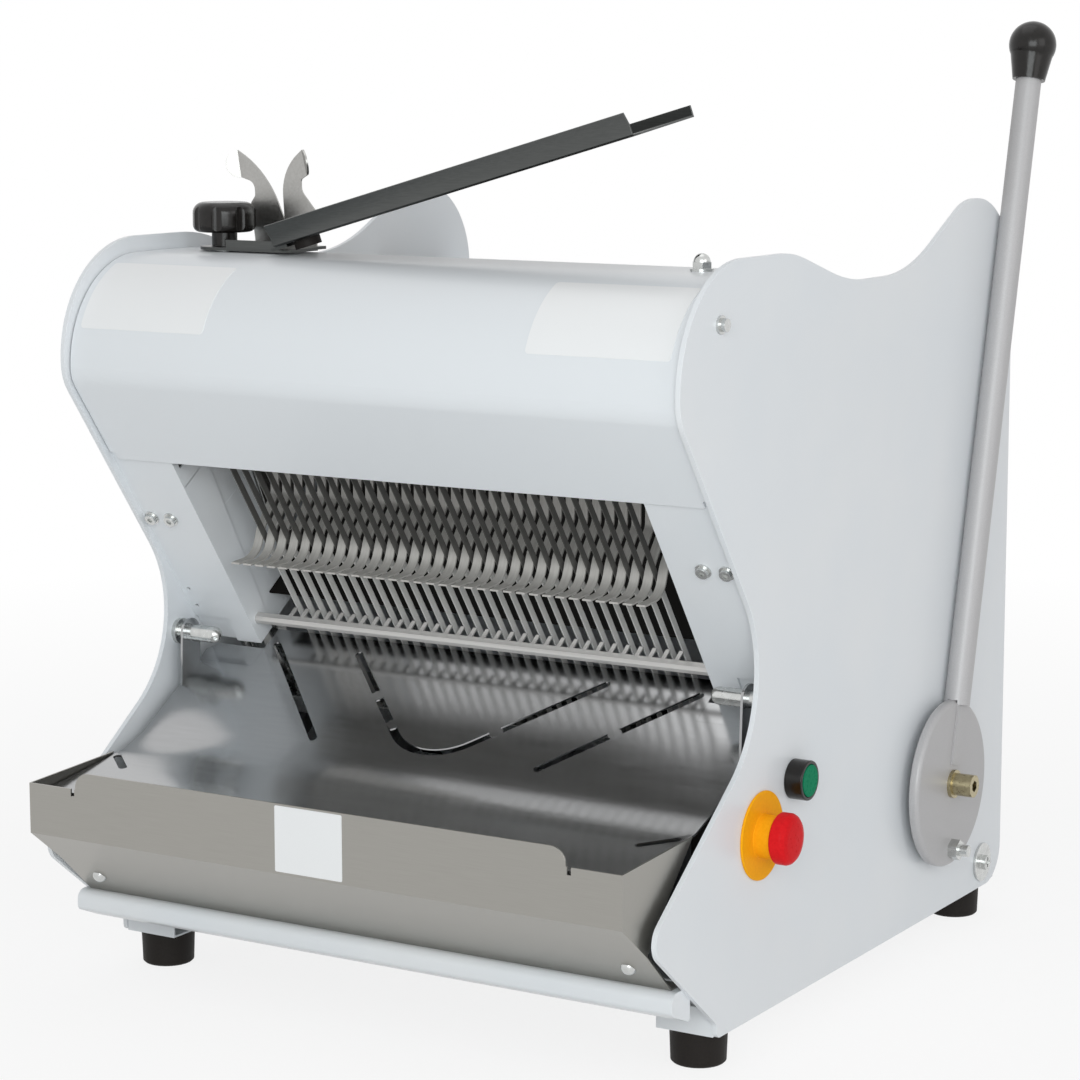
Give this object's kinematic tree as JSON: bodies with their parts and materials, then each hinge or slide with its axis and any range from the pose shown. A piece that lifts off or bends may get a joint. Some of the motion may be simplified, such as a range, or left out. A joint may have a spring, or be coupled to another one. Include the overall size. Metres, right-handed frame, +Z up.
{
  "type": "bread slicer machine",
  "caption": "Table-top bread slicer: white casing with a curved hood, leaned blade frames, a lever-driven loaf pusher, a steel chute and tray, push buttons and a bag scoop on top.",
  "frame": {"origin": "on the table, midway between the four feet", "axes": "+Z up, -Y to the front tray, +X to the lever side"},
  "size_m": [0.6095, 0.6896, 0.7858],
  "materials": {
    "white_paint": "gloss powder coat",
    "stainless": "brushed",
    "blade_steel": "ground",
    "zinc_plate": "bright zinc plate",
    "grey_paint": "satin paint",
    "cast_iron": "as cast",
    "motor_casting": "painted casting",
    "brass": "satin",
    "rubber": "matte",
    "black_plastic": "gloss",
    "green_plastic": "gloss",
    "yellow_plastic": "satin",
    "red_plastic": "gloss"
  },
  "bodies": {
    "casing": {"side_panel_right": "white_paint", "side_panel_left": "white_paint", "base_pan": "white_paint", "foot_brackets": "white_paint", "rubber_feet": "rubber", "front_rail": "white_paint", "rear_cover": "white_paint", "hood": "white_paint", "hood_back": "white_paint", "hood_fasteners": "zinc_plate", "scoop_stud": "zinc_plate", "panel_screws": "zinc_plate", "post_right": "white_paint", "post_left": "white_paint", "post_screws": "zinc_plate", "channel_wall_right": "stainless", "channel_wall_left": "stainless", "infeed_bed": "black_plastic", "bed_comb": "stainless", "chute_pins": "zinc_plate", "tray": "stainless", "tray_screws": "zinc_plate", "shaft_bushes": "brass", "guide_rods": "zinc_plate", "guide_brackets": "cast_iron", "bearing_blocks": "cast_iron", "motor_body": "motor_casting", "drive_belt": "rubber", "start_bezel": "black_plastic", "stop_plate": "yellow_plastic", "contact_block": "black_plastic", "cable_gland": "black_plastic"},
    "lever": {"lever_disc": "grey_paint", "lever_tube": "grey_paint", "lever_knob": "black_plastic", "lever_bolt": "brass", "stop_bolt": "zinc_plate", "lever_shaft": "zinc_plate", "swing_arms": "zinc_plate"},
    "pusher": {"pusher_comb": "stainless", "pusher_pin": "zinc_plate"},
    "rear_blades": {"blade_bars_rear": "zinc_plate", "blades_rear": "blade_steel", "rod_rear": "cast_iron"},
    "front_blades": {"blade_bars_front": "zinc_plate", "blades_front": "blade_steel", "rod_front": "cast_iron"},
    "crank": {"crank_shaft": "zinc_plate", "crank_pulley": "cast_iron"},
    "motor_rotor": {"motor_pulley": "cast_iron"},
    "hold_down": {"hold_comb": "stainless"},
    "chute": {"chute": "stainless"},
    "bag_scoop": {"scoop_shelf": "stainless", "scoop_strap": "stainless", "bag_prongs": "stainless", "scoop_pad": "rubber"},
    "clamp": {"clamp_knob": "black_plastic"},
    "start": {"start_cap": "green_plastic"},
    "stop_plunger": {"stop_stem": "zinc_plate"},
    "stop_button": {"stop_head": "red_plastic"}
  },
  "joints": [
    {"name": "lever_swing", "type": "hinge", "parent": "casing", "child": "lever", "pos_m": [0, 0.1294, 0.145], "axis": [1, 0, 0], "range_deg": [0, 41.5]},
    {"name": "pusher_slide", "type": "slide", "parent": "casing", "child": "pusher", "axis": [0, -0.8192, -0.5736], "range_m": [0, 0.25]},
    {"name": "rear_blades_stroke", "type": "slide", "parent": "casing", "child": "rear_blades", "axis": [0, -0.5736, 0.8192], "range_m": [-0.009, 0.009]},
    {"name": "front_blades_stroke", "type": "slide", "parent": "casing", "child": "front_blades", "axis": [0, -0.5736, 0.8192], "range_m": [-0.009, 0.009]},
    {"name": "crank_turn", "type": "hinge", "parent": "casing", "child": "crank", "pos_m": [0, -0.03362, 0.14336], "axis": [1, 0, 0], "continuous": true},
    {"name": "motor_turn", "type": "hinge", "parent": "casing", "child": "motor_rotor", "pos_m": [-0.196, 0.075, 0.09], "axis": [1, 0, 0], "continuous": true},
    {"name": "comb_lift", "type": "hinge", "parent": "casing", "child": "hold_down", "pos_m": [0, -0.16097, 0.42287], "axis": [-1, 0, 0], "range_deg": [0, 25]},
    {"name": "chute_tilt", "type": "hinge", "parent": "casing", "child": "chute", "pos_m": [0, -0.185, 0.272], "axis": [-1, 0, 0], "range_deg": [0, 35]},
    {"name": "scoop_swivel", "type": "hinge", "parent": "casing", "child": "bag_scoop", "pos_m": [-0.224, -0.185, 0.6], "axis": [0, 0, 1], "range_deg": [-90, 0]},
    {"name": "clamp_turn", "type": "hinge", "parent": "casing", "child": "clamp", "pos_m": [-0.224, -0.185, 0.61], "axis": [0, 0, 1], "range_deg": [0, 180]},
    {"name": "start_press", "type": "slide", "parent": "casing", "child": "start", "axis": [-1, 0, 0], "range_m": [0, 0.003], "stiffness_N_per_m": 600},
    {"name": "stop_press", "type": "slide", "parent": "casing", "child": "stop_plunger", "axis": [-1, 0, 0], "range_m": [0, 0.004], "stiffness_N_per_m": 900},
    {"name": "stop_twist", "type": "hinge", "parent": "stop_plunger", "child": "stop_button", "pos_m": [0.305, -0.194, 0.1695], "axis": [1, 0, 0], "range_deg": [0, 45], "stiffness_Nm_per_rad": 0.08}
  ],
  "couplings": [
    {"joint": "pusher_slide", "follows": "lever_swing", "m_per_rad": 0.345},
    {"joint": "front_blades_stroke", "follows": "rear_blades_stroke", "ratio": -1},
    {"joint": "motor_turn", "follows": "crank_turn", "ratio": 2}
  ]
}
